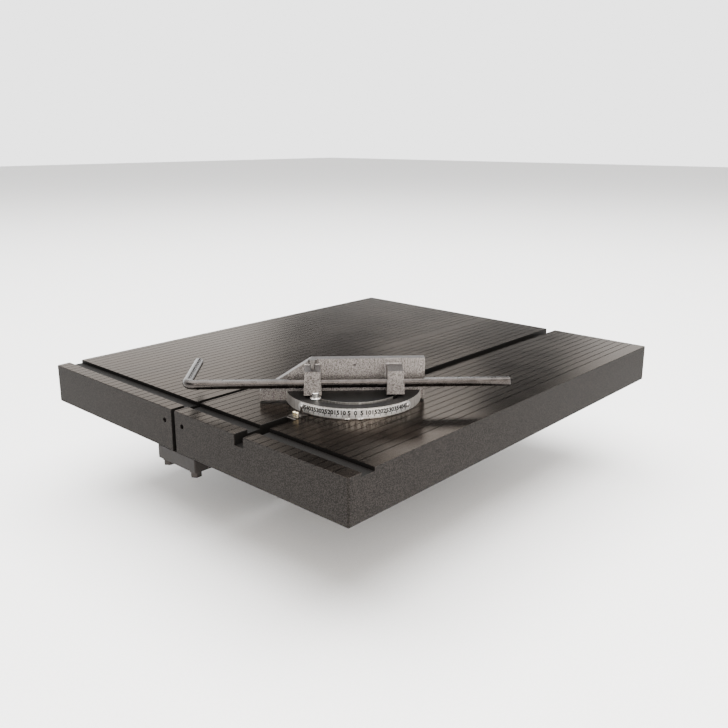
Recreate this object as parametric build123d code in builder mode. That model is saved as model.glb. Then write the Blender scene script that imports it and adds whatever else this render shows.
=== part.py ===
"""Bandsaw work table on a tilting trunnion, with a swivelling protractor mitre gauge.

Frame: millimetres, +Z up, origin on the floor under the middle of the table.
+X is the feed direction (the operator stands at -X), +Y is to the operator's left.
"""

import os
from math import cos, radians, sin, sqrt

from build123d import *

os.makedirs("parts", exist_ok=True)

# ---------------------------------------------------------------- driving dimensions
TABLE_LENGTH = 700.0          # along X
TABLE_WIDTH = 600.0           # along Y
TABLE_THICKNESS = 56.0
TOP_Z = 190.0                 # table top above the mounting face of the base
TABLE_SKIN = 24.0             # planed top plate over the ribs
RIM_WALL = 14.0

SLOT_Y = -127.0               # mitre slot, parallel to X
SLOT_WIDTH = 16.4
SLOT_DEPTH = 14.0
CHANNEL_X = -320.0            # shallow cross channel, parallel to Y
CHANNEL_WIDTH = 20.0
CHANNEL_DEPTH = 5.0
SLIT_WIDTH = 8.0              # blade slit, just left of the centre line
SLIT_Y = 2.6
BLADE_X = -72.0
GROOVE_PITCH = 12.7
GROOVE_WIDTH = 1.3
GROOVE_DEPTH = 1.0
GROOVE_MARGIN = 22.5          # plain land beside the right-hand edge

PIVOT_X = -159.0              # mitre gauge pivot, on the slot's centre line
HEAD_ANGLE = 45.0             # angle of the fence to the slot at rest
RIM_RADIUS = 87.4
RIM_TOP = 13.7                # disc height above the table top
LIFT = 0.3                    # running gap between the gauge and the table
LOCK_RADIUS = 68.5            # arc slot's centre line
ROD_RADIUS = 6.0

TILT_RADIUS = 150.0           # trunnion arc, centred on the blade line at the table top
FIT = 0.05                    # radial clearance of a running fit
GAP = 0.3                     # clearance between faces that pass each other

# ---------------------------------------------------------------- derived sizes
FRONT_X = -TABLE_LENGTH / 2
RIGHT_Y = -TABLE_WIDTH / 2
UNDERSIDE_Z = TOP_Z - TABLE_THICKNESS
SKIN_Z = TOP_Z - TABLE_SKIN
POCKET_DEPTH = SKIN_Z - UNDERSIDE_Z
BAR_WIDTH = SLOT_WIDTH - 2 * FIT
BAR_TOP = TOP_Z - GAP
BAR_BOTTOM = TOP_Z - SLOT_DEPTH + GAP


def export(node, label):
    """Label a finished sub-part and write its STEP file."""
    node.part.label = label
    export_step(node.part, f"parts/{label}.step")


def at_height(z):
    """Horizontal plane at height z."""
    return Plane.XY.offset(z)


def along_y(y):
    """Plane facing -Y at y, with local x along X and local y along Z."""
    return Plane(origin=(0, y, 0), x_dir=(1, 0, 0), z_dir=(0, -1, 0))


def across_x(x):
    """Plane facing +X at x, with local x along Y and local y along Z."""
    return Plane(origin=(x, 0, 0), x_dir=(0, 1, 0), z_dir=(1, 0, 0))


def round_bar(plane, radius, length):
    """Add a cylinder that starts on the plane and follows its normal."""
    with BuildSketch(plane) as profile:
        Circle(radius)
    extrude(profile.sketch, amount=length)


def hex_head(plane, across_flats, height):
    """Add a hexagonal head that starts on the plane and follows its normal."""
    with BuildSketch(plane) as profile:
        RegularPolygon(radius=across_flats / 2, side_count=6, major_radius=False)
        Circle(across_flats * 0.555, mode=Mode.INTERSECT)
    extrude(profile.sketch, amount=height)


def hex_bolt(plane, shank_radius, shank_length, across_flats, head_height):
    """Add a hex bolt whose head seats on the plane; the shank runs against its normal."""
    round_bar(plane, shank_radius, -shank_length)
    hex_head(plane, across_flats, head_height)


def washer(plane, outer_radius, inner_radius, thickness):
    """Add a plain washer that starts on the plane and follows its normal."""
    with BuildSketch(plane) as profile:
        Circle(outer_radius)
        Circle(inner_radius, mode=Mode.SUBTRACT)
    extrude(profile.sketch, amount=thickness)


# ================================================================ table casting
FLANGE_THICKNESS = 14.0
RIB_FRONT_X = -22.0           # middles of the two wide cross ribs that carry the trunnion
RIB_REAR_X = 74.0
WIDE_RIB = 30.0
THIN_RIB = 12.0
STIFFENER_X = (-200.0, 212.0)
SLIT_WALL = 24.0              # half width of the solid strip beside the slit
INSERT_BOSS = 36.0            # half width of the solid round the insert
INSERT_BOSS_FRONT = -112.0
INSERT_RADIUS = 25.0
INSERT_THICKNESS = 6.0
INSERT_SCREW_OFFSET = 21.4
INSERT_SCREW_Y = (SLIT_Y - INSERT_SCREW_OFFSET, SLIT_Y + INSERT_SCREW_OFFSET)
THROAT_RADIUS = 18.0
TIE_BOSS = (28.0, 44.0)       # depth from the front face and half width
TIE_BOLT_OFFSET = 29.0        # bolts either side of the slit
TIE_BOLT_Y = (SLIT_Y - TIE_BOLT_OFFSET, SLIT_Y + TIE_BOLT_OFFSET)
TIE_BOLT_X = FRONT_X + 10.0
TRUNNION_BOLT_Y = 129.0
FACE_HOLE_OFFSET = 18.5       # two tapped holes in the front face, either side of the slit
FACE_HOLE_Z = TOP_Z - 17.5
FACE_HOLE_RADIUS = 3.4

INNER_X = TABLE_LENGTH / 2 - RIM_WALL
INNER_Y = TABLE_WIDTH / 2 - RIM_WALL


def pocket_sketch(x_low, x_high, y_low, y_high):
    """Rounded rectangle between two corners, for one pocket of the ribbed underside."""
    with Locations(((x_low + x_high) / 2, (y_low + y_high) / 2)):
        RectangleRounded(x_high - x_low, y_high - y_low, 8.0)


def pocket_layout():
    """Plan limits of the pockets on the +Y side, and of the one across the middle."""
    thin = THIN_RIB / 2
    wide = WIDE_RIB / 2
    front, rear = STIFFENER_X
    side = [
        (-INNER_X, front - thin, SLIT_WALL, INNER_Y),
        (front + thin, RIB_FRONT_X - wide, SLIT_WALL, INNER_Y),
        (RIB_REAR_X + wide, rear - thin, thin, INNER_Y),
        (rear + thin, INNER_X, thin, INNER_Y),
    ]
    middle = (RIB_FRONT_X + wide, RIB_REAR_X - wide, -INNER_Y, INNER_Y)
    return side, middle


def groove_positions():
    """Y of each planed groove: one run right of the mitre slot and one left of it."""
    right_run = []
    y = RIGHT_Y + GROOVE_MARGIN
    while y < SLOT_Y - SLOT_WIDTH / 2 - 2.5:
        right_run.append(y)
        y += GROOVE_PITCH
    left_run = []
    y = SLOT_Y + SLOT_WIDTH / 2 + GROOVE_PITCH
    while y < TABLE_WIDTH / 2 - GROOVE_PITCH / 2:
        if abs(y - SLIT_Y) > SLIT_WIDTH / 2 + 2 * GROOVE_WIDTH - 0.3:
            left_run.append(y)
        y += GROOVE_PITCH
    return right_run + left_run


with BuildPart() as table_casting:
    with BuildSketch(at_height(UNDERSIDE_Z)):
        RectangleRounded(TABLE_LENGTH, TABLE_WIDTH, 3.0)
    extrude(amount=TABLE_THICKNESS)
    chamfer(table_casting.faces().sort_by(Axis.Z)[-1].edges(), 0.8)
    chamfer(table_casting.faces().sort_by(Axis.Z)[0].edges(), 1.5)

    # ribbed underside
    side_pockets, middle_pocket = pocket_layout()
    with BuildSketch(at_height(UNDERSIDE_Z)):
        for x_low, x_high, y_low, y_high in side_pockets:
            pocket_sketch(x_low, x_high, y_low, y_high)
            pocket_sketch(x_low, x_high, -y_high, -y_low)
        pocket_sketch(*middle_pocket)
    extrude(amount=POCKET_DEPTH, mode=Mode.SUBTRACT)

    # solid corners for the tie plate bolts and round the insert
    with BuildSketch(at_height(UNDERSIDE_Z)):
        with Locations((FRONT_X + 4 + TIE_BOSS[0] / 2, SLIT_Y)):
            Rectangle(TIE_BOSS[0], 2 * TIE_BOSS[1])
        with Locations(((INSERT_BOSS_FRONT + RIB_FRONT_X) / 2, SLIT_Y)):
            Rectangle(RIB_FRONT_X - INSERT_BOSS_FRONT, 2 * INSERT_BOSS)
    extrude(amount=POCKET_DEPTH + 1)

    # throat: seat for the insert over a clear hole
    with BuildSketch(at_height(TOP_Z)):
        with Locations((BLADE_X, SLIT_Y)):
            Circle(INSERT_RADIUS)
    extrude(amount=-INSERT_THICKNESS, mode=Mode.SUBTRACT)
    with BuildSketch(at_height(TOP_Z)):
        with Locations((BLADE_X, SLIT_Y)):
            Circle(THROAT_RADIUS)
    extrude(amount=-TABLE_THICKNESS, mode=Mode.SUBTRACT)

    # blade slit from the front face to the throat
    with BuildSketch(at_height(TOP_Z)):
        with Locations(((FRONT_X + BLADE_X) / 2, SLIT_Y)):
            Rectangle(BLADE_X - FRONT_X, SLIT_WIDTH)
    extrude(amount=-TABLE_THICKNESS, mode=Mode.SUBTRACT)

    # mitre slot with a small chamfer along each edge
    with BuildSketch(across_x(FRONT_X)):
        with Locations((SLOT_Y, TOP_Z - SLOT_DEPTH / 2)):
            Rectangle(SLOT_WIDTH, SLOT_DEPTH)
        with Locations((SLOT_Y, TOP_Z)):
            Trapezoid(SLOT_WIDTH + 2.8, 1.4, 45, rotation=180)
    extrude(amount=TABLE_LENGTH, mode=Mode.SUBTRACT)

    # shallow cross channel
    with BuildSketch(at_height(TOP_Z)):
        with Locations((CHANNEL_X, 0)):
            Rectangle(CHANNEL_WIDTH, TABLE_WIDTH)
    extrude(amount=-CHANNEL_DEPTH, mode=Mode.SUBTRACT)

    # planed grooves
    with BuildSketch(across_x(FRONT_X)):
        with Locations(*[(y, TOP_Z) for y in groove_positions()]):
            Rectangle(GROOVE_WIDTH, 2 * GROOVE_DEPTH)
    extrude(amount=TABLE_LENGTH, mode=Mode.SUBTRACT)

    # tapped holes: front face, tie plate, trunnion and insert
    with BuildSketch(across_x(FRONT_X)):
        with Locations(*[(SLIT_Y + side * FACE_HOLE_OFFSET, FACE_HOLE_Z) for side in (-1, 1)]):
            Circle(FACE_HOLE_RADIUS)
    extrude(amount=16.0, mode=Mode.SUBTRACT)
    with BuildSketch(at_height(UNDERSIDE_Z)):
        with Locations(*[(TIE_BOLT_X, y) for y in TIE_BOLT_Y]):
            Circle(4.0)
    extrude(amount=20.0, mode=Mode.SUBTRACT)
    with BuildSketch(at_height(UNDERSIDE_Z)):
        with Locations(
            *[(x, y) for x in (RIB_FRONT_X, RIB_REAR_X) for y in (-TRUNNION_BOLT_Y, TRUNNION_BOLT_Y)]
        ):
            Circle(6.0)
    extrude(amount=26.0, mode=Mode.SUBTRACT)
    with BuildSketch(at_height(TOP_Z - INSERT_THICKNESS)):
        with Locations(*[(BLADE_X, y) for y in INSERT_SCREW_Y]):
            Circle(2.0)
    extrude(amount=-12.0, mode=Mode.SUBTRACT)
export(table_casting, "table_casting")

# ---------------------------------------------------------------- throat insert
INSERT_SLOT = 5.0
with BuildPart() as throat_insert:
    with BuildSketch(at_height(TOP_Z - INSERT_THICKNESS)):
        with Locations((BLADE_X, SLIT_Y)):
            Circle(INSERT_RADIUS - GAP)
        with Locations((BLADE_X - 7.5, SLIT_Y)):
            Rectangle(37.0, INSERT_SLOT, mode=Mode.SUBTRACT)
        with Locations(*[(BLADE_X, y) for y in INSERT_SCREW_Y]):
            Circle(2.0, mode=Mode.SUBTRACT)
    extrude(amount=INSERT_THICKNESS - 0.2)
    for y in INSERT_SCREW_Y:
        with Locations((BLADE_X, y, TOP_Z - 0.2)):
            CounterSinkHole(radius=2.0, counter_sink_radius=3.6, depth=INSERT_THICKNESS)
export(throat_insert, "throat_insert")

with BuildPart() as insert_screws:
    for y in INSERT_SCREW_Y:
        with BuildSketch(along_y(y)):
            with BuildLine():
                Polyline(
                    (BLADE_X, TOP_Z - 16.0),
                    (BLADE_X + 2.0, TOP_Z - 16.0),
                    (BLADE_X + 2.0, TOP_Z - 1.8),
                    (BLADE_X + 3.2, TOP_Z - 0.6),
                    (BLADE_X, TOP_Z - 0.6),
                    close=True,
                )
            make_face()
        revolve(axis=Axis((BLADE_X, y, 0), (0, 0, 1)))
export(insert_screws, "insert_screws")

# ---------------------------------------------------------------- tie plate across the slit
TIE_THICKNESS = 18.0
TIE_DEPTH = 26.0
TIE_HALF_WIDTH = 40.0
TIE_WASHER = 2.0
TIE_BOTTOM = UNDERSIDE_Z - TIE_THICKNESS

with BuildPart() as tie_plate:
    with BuildSketch(at_height(TIE_BOTTOM)):
        with Locations((FRONT_X + 1.0 + TIE_DEPTH / 2, SLIT_Y)):
            Rectangle(TIE_DEPTH, 2 * TIE_HALF_WIDTH)
        with Locations(*[(TIE_BOLT_X, y) for y in TIE_BOLT_Y]):
            Circle(4.5, mode=Mode.SUBTRACT)
    extrude(amount=TIE_THICKNESS)
    chamfer(tie_plate.edges().filter_by(Axis.Z).filter_by(GeomType.LINE).group_by(Axis.X)[0], 1.0)
export(tie_plate, "tie_plate")

with BuildPart() as tie_plate_washers:
    for y in TIE_BOLT_Y:
        seat = Plane(origin=(TIE_BOLT_X, y, TIE_BOTTOM), z_dir=(0, 0, -1))
        washer(seat, 8.0, 4.2, TIE_WASHER)
export(tie_plate_washers, "tie_plate_washers")

with BuildPart() as tie_plate_bolts:
    for y in TIE_BOLT_Y:
        seat = Plane(origin=(TIE_BOLT_X, y, TIE_BOTTOM - TIE_WASHER), z_dir=(0, 0, -1))
        hex_bolt(seat, 4.0, TIE_WASHER + TIE_THICKNESS + 18.0, 13.0, 6.5)
export(tie_plate_bolts, "tie_plate_bolts")

# ================================================================ trunnion under the table
FLANGE_FRONT_X = -50.0
FLANGE_REAR_X = 102.0
FLANGE_HALF_WIDTH = 146.0
FLANGE_BOTTOM = UNDERSIDE_Z - FLANGE_THICKNESS
RIB_X = (-36.0, 70.0)         # front faces of the two arc ribs
RIB_THICKNESS = 18.0
STUD_DROP = 122.0             # clamp stud below the tilt axis
STUD_RADIUS = 6.0
TILT_LIMIT = 15.0
WEB_BOTTOM = 88.0

STUD_Z = TOP_Z - STUD_DROP
ARC_END_Y = TILT_RADIUS * sin(radians(45))
ARC_END_Z = TOP_Z - TILT_RADIUS * cos(radians(45))


def tilt_point(radius, angle):
    """(y, z) of a point on a circle about the tilt axis, angle in degrees from straight down."""
    return (radius * sin(radians(angle)), TOP_Z - radius * cos(radians(angle)))


def tilt_slot(radius, half_angle, width, mode):
    """Add or cut an arc slot about the tilt axis in the current sketch."""
    with BuildLine(mode=Mode.PRIVATE) as path:
        ThreePointArc(tilt_point(radius, -half_angle), tilt_point(radius, 0), tilt_point(radius, half_angle))
    SlotArc(path.edges()[0], width, mode=mode)


with BuildPart() as tilt_trunnion:
    with BuildSketch(at_height(FLANGE_BOTTOM)):
        with Locations(((FLANGE_FRONT_X + FLANGE_REAR_X) / 2, 0)):
            RectangleRounded(FLANGE_REAR_X - FLANGE_FRONT_X, 2 * FLANGE_HALF_WIDTH, 10.0)
        with Locations(
            *[(x, y) for x in (RIB_FRONT_X, RIB_REAR_X) for y in (-TRUNNION_BOLT_Y, TRUNNION_BOLT_Y)]
        ):
            Circle(6.6, mode=Mode.SUBTRACT)
    extrude(amount=FLANGE_THICKNESS)
    for rib_x in RIB_X:
        with BuildSketch(across_x(rib_x)):
            with BuildLine():
                Polyline(
                    (ARC_END_Y, ARC_END_Z),
                    (ARC_END_Y + 5.0, FLANGE_BOTTOM),
                    (-ARC_END_Y - 5.0, FLANGE_BOTTOM),
                    (-ARC_END_Y, ARC_END_Z),
                )
                ThreePointArc((-ARC_END_Y, ARC_END_Z), (0, TOP_Z - TILT_RADIUS), (ARC_END_Y, ARC_END_Z))
            make_face()
            tilt_slot(STUD_DROP, TILT_LIMIT + 1, 2 * (STUD_RADIUS + GAP), Mode.SUBTRACT)
        extrude(amount=RIB_THICKNESS)
    with BuildSketch(across_x(RIB_X[0] + RIB_THICKNESS)):
        with Locations((0, (WEB_BOTTOM + FLANGE_BOTTOM) / 2)):
            Rectangle(14.0, FLANGE_BOTTOM - WEB_BOTTOM)
    extrude(amount=RIB_X[1] - RIB_X[0] - RIB_THICKNESS)
export(tilt_trunnion, "tilt_trunnion")

with BuildPart() as trunnion_washers:
    for x in (RIB_FRONT_X, RIB_REAR_X):
        for side in (-1, 1):
            seat = Plane(origin=(x, side * TRUNNION_BOLT_Y, FLANGE_BOTTOM), z_dir=(0, 0, -1))
            washer(seat, 12.0, 6.2, 2.0)
export(trunnion_washers, "trunnion_washers")

with BuildPart() as trunnion_bolts:
    for x in (RIB_FRONT_X, RIB_REAR_X):
        for side in (-1, 1):
            seat = Plane(origin=(x, side * TRUNNION_BOLT_Y, FLANGE_BOTTOM - 2.0), z_dir=(0, 0, -1))
            hex_bolt(seat, 6.0, 2.0 + FLANGE_THICKNESS + 24.0, 19.0, 7.5)
export(trunnion_bolts, "trunnion_bolts")

# ---------------------------------------------------------------- tilt scale on the front rib
SCALE_OUTER = 92.0
SCALE_INNER = 77.0
SCALE_THICKNESS = 1.0
SCALE_END_ANGLE = 17.5        # centre of each rounded end, where the rivets are
SCALE_MIDDLE = (SCALE_OUTER + SCALE_INNER) / 2

with BuildPart() as tilt_scale:
    with BuildSketch(across_x(RIB_X[0] - SCALE_THICKNESS)):
        tilt_slot(SCALE_MIDDLE, SCALE_END_ANGLE, SCALE_OUTER - SCALE_INNER, Mode.ADD)
        with Locations(*[tilt_point(SCALE_MIDDLE, side * SCALE_END_ANGLE) for side in (-1, 1)]):
            Circle(1.2, mode=Mode.SUBTRACT)
    extrude(amount=SCALE_THICKNESS)
export(tilt_scale, "tilt_scale")

with BuildPart() as tilt_scale_rivets:
    for side in (-1, 1):
        y, z = tilt_point(SCALE_MIDDLE, side * SCALE_END_ANGLE)
        seat = Plane(origin=(RIB_X[0] - SCALE_THICKNESS, y, z), z_dir=(-1, 0, 0))
        round_bar(seat, 1.2, -SCALE_THICKNESS)
        round_bar(seat, 2.0, 0.8)
export(tilt_scale_rivets, "tilt_scale_rivets")

# ================================================================ cradle (base casting)
BASE_FRONT_X = -100.0
BASE_REAR_X = 106.0
BASE_HALF_WIDTH = 104.0
BASE_THICKNESS = 16.0
BASE_MIDDLE_X = (BASE_FRONT_X + BASE_REAR_X) / 2
BASE_HOLE_SPACING = (170.0, 172.0)
BASE_HOLE_RADIUS = 6.75
NOTCH_BACK_X = -56.0
NOTCH_HALF_WIDTH = 14.0
CHEEK_THICKNESS = 13.7
CHEEK_HALF_WIDTH = 64.0
CHEEK_TOP_RADIUS = 26.0
CHEEK_X = (RIB_X[0] - GAP - CHEEK_THICKNESS, RIB_X[1] + RIB_THICKNESS + GAP)
SADDLE_HALF_WIDTH = 70.0
SADDLE_RADIUS = TILT_RADIUS + GAP
SADDLE_EDGE_Z = TOP_Z - sqrt(SADDLE_RADIUS**2 - SADDLE_HALF_WIDTH**2)
FOOT_HEIGHT = 20.0            # where cheek and saddle are one block

with BuildPart() as tilt_cradle:
    with BuildSketch(at_height(0)):
        with Locations((BASE_MIDDLE_X, 0)):
            RectangleRounded(BASE_REAR_X - BASE_FRONT_X, 2 * BASE_HALF_WIDTH, 12.0)
            with GridLocations(BASE_HOLE_SPACING[0], BASE_HOLE_SPACING[1], 2, 2):
                Circle(BASE_HOLE_RADIUS, mode=Mode.SUBTRACT)
        with Locations(((BASE_FRONT_X + NOTCH_BACK_X) / 2, SLIT_Y)):
            Rectangle(NOTCH_BACK_X - BASE_FRONT_X, 2 * NOTCH_HALF_WIDTH, mode=Mode.SUBTRACT)
    extrude(amount=BASE_THICKNESS)
    for rib_x in RIB_X:
        with BuildSketch(across_x(rib_x)):
            with BuildLine():
                Polyline(
                    (SADDLE_HALF_WIDTH, SADDLE_EDGE_Z),
                    (SADDLE_HALF_WIDTH, BASE_THICKNESS),
                    (-SADDLE_HALF_WIDTH, BASE_THICKNESS),
                    (-SADDLE_HALF_WIDTH, SADDLE_EDGE_Z),
                )
                ThreePointArc(
                    (-SADDLE_HALF_WIDTH, SADDLE_EDGE_Z),
                    (0, TOP_Z - SADDLE_RADIUS),
                    (SADDLE_HALF_WIDTH, SADDLE_EDGE_Z),
                )
            make_face()
        extrude(amount=RIB_THICKNESS)
    for cheek_x in CHEEK_X:
        with BuildSketch(across_x(cheek_x)):
            with BuildLine():
                Polyline(
                    (CHEEK_TOP_RADIUS, STUD_Z),
                    (CHEEK_HALF_WIDTH, BASE_THICKNESS),
                    (-CHEEK_HALF_WIDTH, BASE_THICKNESS),
                    (-CHEEK_TOP_RADIUS, STUD_Z),
                )
                ThreePointArc(
                    (-CHEEK_TOP_RADIUS, STUD_Z), (0, STUD_Z + CHEEK_TOP_RADIUS), (CHEEK_TOP_RADIUS, STUD_Z)
                )
            make_face()
            with Locations((0, STUD_Z)):
                Circle(STUD_RADIUS, mode=Mode.SUBTRACT)
        extrude(amount=CHEEK_THICKNESS)
    # one block under each cheek and its saddle
    for block_x in (CHEEK_X[0], RIB_X[1]):
        with BuildSketch(across_x(block_x)):
            with Locations((0, BASE_THICKNESS + FOOT_HEIGHT / 2)):
                Rectangle(2 * CHEEK_HALF_WIDTH - 20.0, FOOT_HEIGHT)
        extrude(amount=CHEEK_THICKNESS + GAP + RIB_THICKNESS)
export(tilt_cradle, "tilt_cradle")

# ---------------------------------------------------------------- tilt pointer
POINTER_SHEET = 1.2
POINTER_FOOT_Z = 80.5
POINTER_SCREW_Z = 85.0
POINTER_TIP_Z = 104.0
CHEEK_TOP_Z = STUD_Z + CHEEK_TOP_RADIUS
POINTER_BACK_X = RIB_X[0] - 2.0
POINTER_STEP_Z = CHEEK_TOP_Z + 0.4

with BuildPart() as tilt_pointer:
    with BuildSketch(along_y(5.0)):
        with BuildLine():
            Polyline(
                (CHEEK_X[0] - POINTER_SHEET, POINTER_FOOT_Z),
                (CHEEK_X[0], POINTER_FOOT_Z),
                (CHEEK_X[0], POINTER_STEP_Z),
                (POINTER_BACK_X, POINTER_STEP_Z),
                (POINTER_BACK_X, POINTER_TIP_Z),
                (POINTER_BACK_X - POINTER_SHEET, POINTER_TIP_Z),
                (POINTER_BACK_X - POINTER_SHEET, POINTER_STEP_Z + POINTER_SHEET),
                (CHEEK_X[0] - POINTER_SHEET, POINTER_STEP_Z + POINTER_SHEET),
                close=True,
            )
        make_face()
    extrude(amount=10.0)
    # cut the upright to a point
    for side in (-1, 1):
        with BuildSketch(across_x(POINTER_BACK_X - 2.0)):
            with BuildLine():
                Polyline(
                    (0.4 * side, POINTER_TIP_Z + 0.5),
                    (5.5 * side, POINTER_TIP_Z + 0.5),
                    (5.5 * side, POINTER_STEP_Z + 2.0),
                    close=True,
                )
            make_face()
        extrude(amount=3.0, mode=Mode.SUBTRACT)
    with BuildSketch(across_x(CHEEK_X[0] - 3.0)):
        with Locations((0, POINTER_SCREW_Z)):
            Circle(2.0)
    extrude(amount=4.0, mode=Mode.SUBTRACT)
export(tilt_pointer, "tilt_pointer")

with BuildPart() as tilt_pointer_screw:
    seat = Plane(origin=(CHEEK_X[0] - POINTER_SHEET, 0, POINTER_SCREW_Z), x_dir=(0, 1, 0), z_dir=(-1, 0, 0))
    round_bar(seat, 2.0, -POINTER_SHEET)
    round_bar(seat, 3.6, 2.4)
    with BuildSketch(seat.offset(2.4)):
        Rectangle(7.4, 0.9)
    extrude(amount=-1.1, mode=Mode.SUBTRACT)
export(tilt_pointer_screw, "tilt_pointer_screw")

# ---------------------------------------------------------------- tilt clamp
CLAMP_WASHER = 2.5
HUB_RADIUS = 12.0
HUB_LENGTH = 18.0
LEVER_ANGLE = 5.0             # arm above level when clamped
LEVER_LENGTH = 80.0
LEVER_RADIUS = 5.0
KNOB_RADIUS = 12.0
KNOB_OFFSET = 4.0             # ball centre beyond the arm's end
CHEEK_REAR_X = CHEEK_X[1] + CHEEK_THICKNESS
HUB_X = CHEEK_REAR_X + CLAMP_WASHER + GAP
STUD_END = 4.0

with BuildPart() as clamp_stud:
    seat = Plane(origin=(CHEEK_X[0], 0, STUD_Z), x_dir=(0, 1, 0), z_dir=(-1, 0, 0))
    hex_bolt(seat, STUD_RADIUS, HUB_X + HUB_LENGTH + STUD_END - CHEEK_X[0], 19.0, 7.5)
export(clamp_stud, "clamp_stud")

with BuildPart() as clamp_washer:
    washer(Plane(origin=(CHEEK_REAR_X, 0, STUD_Z), z_dir=(1, 0, 0)), HUB_RADIUS, STUD_RADIUS, CLAMP_WASHER)
export(clamp_washer, "clamp_washer")

lever_plane = Plane(
    origin=(HUB_X + HUB_LENGTH / 2, 0, STUD_Z),
    x_dir=(1, 0, 0),
    z_dir=(0, -cos(radians(LEVER_ANGLE)), sin(radians(LEVER_ANGLE))),
)

with BuildPart() as clamp_lever:
    round_bar(lever_plane, LEVER_RADIUS, LEVER_LENGTH)
    with BuildSketch(across_x(HUB_X)):
        with Locations((0, STUD_Z)):
            Circle(HUB_RADIUS)
    extrude(amount=HUB_LENGTH)
    with BuildSketch(across_x(HUB_X)):
        with Locations((0, STUD_Z)):
            Circle(STUD_RADIUS + FIT)
    extrude(amount=HUB_LENGTH, mode=Mode.SUBTRACT)
export(clamp_lever, "clamp_lever")

with BuildPart() as clamp_knob:
    with Locations(lever_plane.offset(LEVER_LENGTH + KNOB_OFFSET)):
        Sphere(KNOB_RADIUS)
    with BuildSketch(lever_plane.offset(LEVER_LENGTH - KNOB_RADIUS)):
        Circle(LEVER_RADIUS)
    extrude(amount=KNOB_RADIUS, mode=Mode.SUBTRACT)
export(clamp_knob, "clamp_knob")

# ================================================================ mitre gauge
# Gauge planes: local x (u) runs along the fence, v points away from the work, towards the rim.
ALONG = (cos(radians(HEAD_ANGLE)), -sin(radians(HEAD_ANGLE)), 0)
OUTWARD = (-sin(radians(HEAD_ANGLE)), -cos(radians(HEAD_ANGLE)), 0)
gauge_top = Plane(origin=(PIVOT_X, SLOT_Y, TOP_Z), x_dir=ALONG, z_dir=(0, 0, 1))
gauge_face = Plane(origin=(PIVOT_X, SLOT_Y, TOP_Z), x_dir=ALONG, z_dir=OUTWARD)

PIN_RADIUS = 5.0
PIN_REACH = 8.5               # pin above the table top
FENCE_BACK = 5.5              # work face, in v
FENCE_FRONT = 17.5
FENCE_LEFT = -120.4
FENCE_RIGHT = 91.0
FENCE_BOTTOM = 2.5
FENCE_TOP = 56.5
FENCE_TOE_TOP = 18.5          # low toe at the left end
FENCE_SLOPE = (-114.0, -54.4)
TONGUE_HALF_WIDTH = 13.0
TONGUE_TOP = 12.0
POST_U = 52.0
POST_TOP_WIDTH = 19.5
POST_BOTTOM_WIDTH = 22.5
POST_FRONT = 43.2
POST_BOTTOM = 16.5
POST_TOP = 47.0               # at the front; the top rises towards the fence
POST_BACK_TOP = 48.6
ROD_V = 31.4
ROD_Z = 28.6
ARC_SLOT_HALF_ANGLE = 47.0
LOCK_SHANK = 3.0
ARC_SLOT_WIDTH = 8.0
MARK_U = 1.6
MARK_Z = 48.5

CAST_RADIUS = 6.0             # corners of the fence's outline
ROOT_RADIUS = 2.5             # where the posts leave the fence


def stands_on_fence_front(edge):
    """True for an edge where a post's side or top meets the fence's front face."""
    ends = [gauge_face.to_local_coords(vertex.center()) for vertex in edge.vertices()]
    on_face = all(abs(end.Z - FENCE_FRONT) < 0.01 for end in ends)
    beside_post = all(abs(abs(end.X) - POST_U) < POST_BOTTOM_WIDTH for end in ends)
    upright = abs(ends[0].Y - ends[-1].Y) > 5.0
    along_top = all(abs(end.Y - POST_BACK_TOP) < 0.01 for end in ends)
    return on_face and beside_post and (upright or along_top)


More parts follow.
